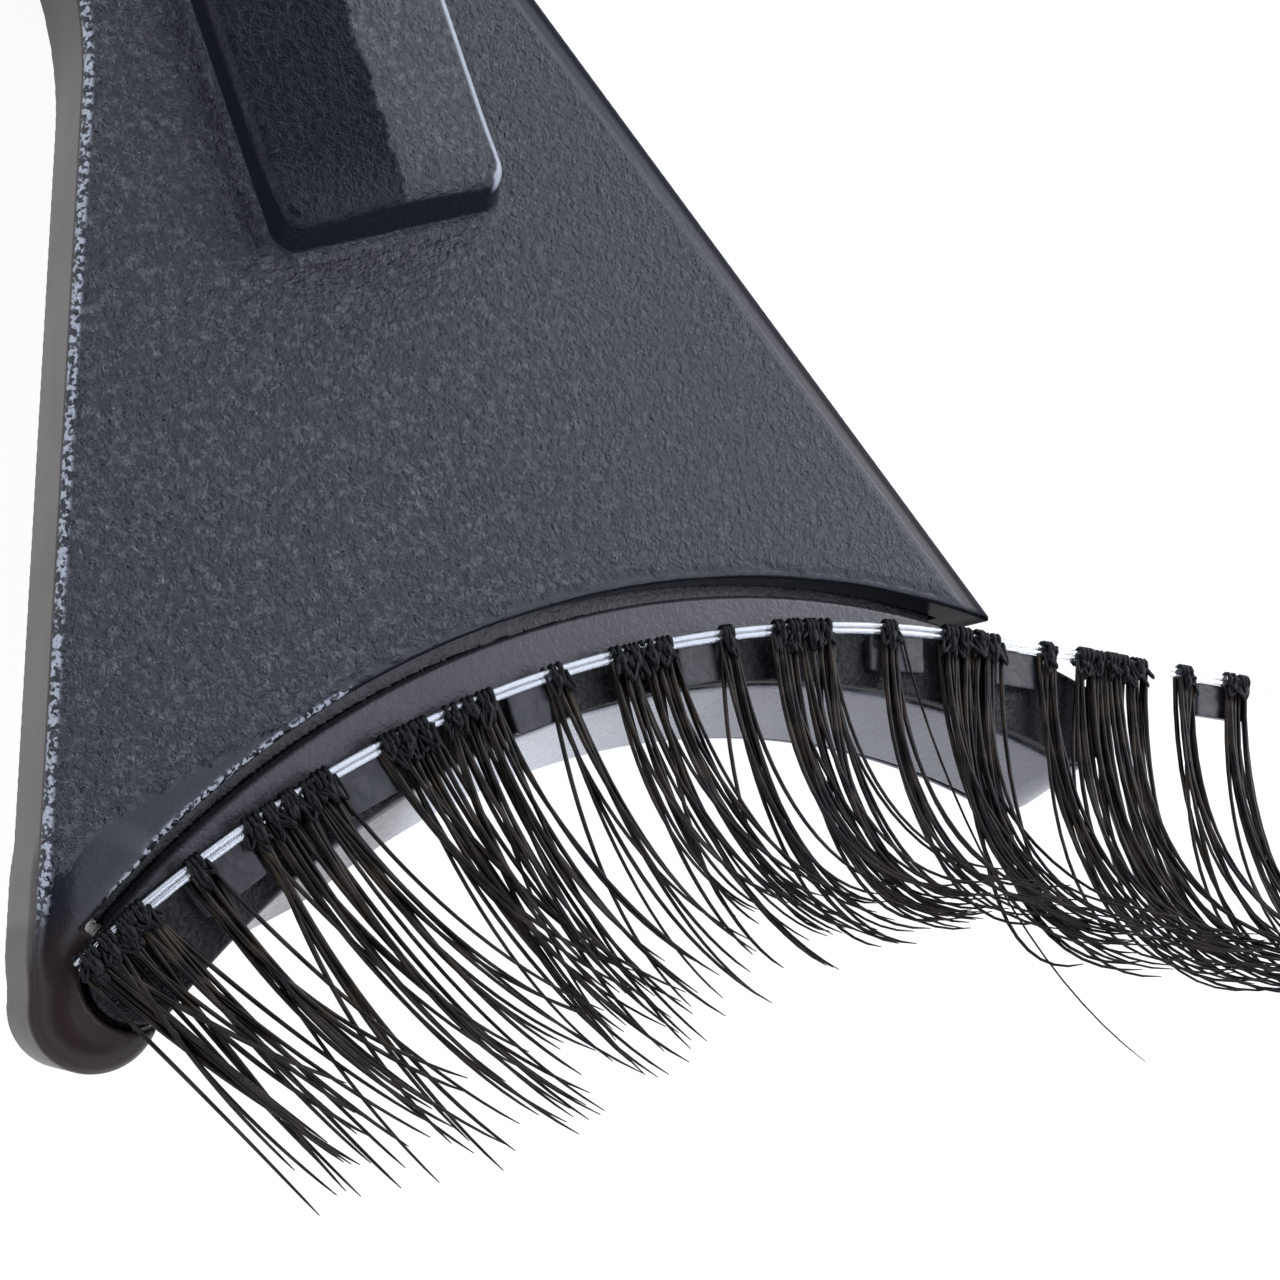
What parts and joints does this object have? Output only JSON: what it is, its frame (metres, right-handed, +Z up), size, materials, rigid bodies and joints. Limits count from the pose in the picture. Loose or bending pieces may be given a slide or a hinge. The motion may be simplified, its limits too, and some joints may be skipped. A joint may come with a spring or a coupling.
{
  "type": "false eyelash applicator clip",
  "caption": "Sprung black plastic clip with a fan-shaped concave jaw that holds a magnetic strip lash; squeezing the handles opens the jaw.",
  "frame": {"origin": "on the surface the clip lies on, straight under the hinge pin", "axes": "+Z up from the table, +Y towards the handles, -Y towards the jaw, X along the hinge pin"},
  "size_m": [0.04, 0.0885, 0.0147],
  "materials": {
    "lever_plastic": "fine spark-eroded grain, satin",
    "insert_plastic": "smooth, satin",
    "strip_rubber": "soft magnetic strip, dull",
    "jaw_magnet": "nickel plated",
    "pin_steel": "turned",
    "spring_steel": "drawn wire",
    "clear_band": "clear nylon thread",
    "knot_glue": "black glue and tied hair",
    "lash_magnet": "black coated",
    "lash_hair": "synthetic hair"
  },
  "bodies": {
    "lower": {"lower_lever": "lever_plastic", "lower_jaw_insert": "insert_plastic", "lower_magnet_strip": "strip_rubber", "lower_jaw_magnet_1": "jaw_magnet", "lower_jaw_magnet_2": "jaw_magnet", "lower_jaw_magnet_3": "jaw_magnet", "lower_jaw_magnet_4": "jaw_magnet", "lower_jaw_magnet_5": "jaw_magnet", "hinge_pin": "pin_steel", "pin_cap_left": "pin_steel", "pin_cap_right": "pin_steel", "spring_coil": "spring_steel", "spring_lower_leg": "spring_steel"},
    "upper": {"upper_lever": "lever_plastic", "upper_jaw_insert": "insert_plastic", "upper_magnet_strip": "strip_rubber", "upper_jaw_magnet_1": "jaw_magnet", "upper_jaw_magnet_2": "jaw_magnet", "upper_jaw_magnet_3": "jaw_magnet", "upper_jaw_magnet_4": "jaw_magnet", "upper_jaw_magnet_5": "jaw_magnet", "spring_upper_leg": "spring_steel"},
    "lash": {"lash_band": "clear_band", "lash_knots": "knot_glue", "lash_magnet_1": "lash_magnet", "lash_magnet_2": "lash_magnet", "lash_magnet_3": "lash_magnet", "lash_magnet_4": "lash_magnet", "lash_magnet_5": "lash_magnet", "lash_magnet_6": "lash_magnet", "lash_magnet_7": "lash_magnet", "lash_hair_inner": "lash_hair", "lash_hair_middle": "lash_hair", "lash_hair_outer": "lash_hair", "lash_hair_end": "lash_hair"}
  },
  "joints": [
    {"name": "jaw_hinge", "type": "hinge", "parent": "lower", "child": "upper", "pos_m": [0, 0, 0.0056], "axis": [-1, 0, 0], "range_deg": [0, 10], "stiffness_Nm_per_rad": 0.02, "springref_deg": -20.05},
    {"name": "lash_lift", "type": "slide", "parent": "upper", "child": "lash", "axis": [0, 0, 1], "range_m": [0, 0.012]}
  ]
}
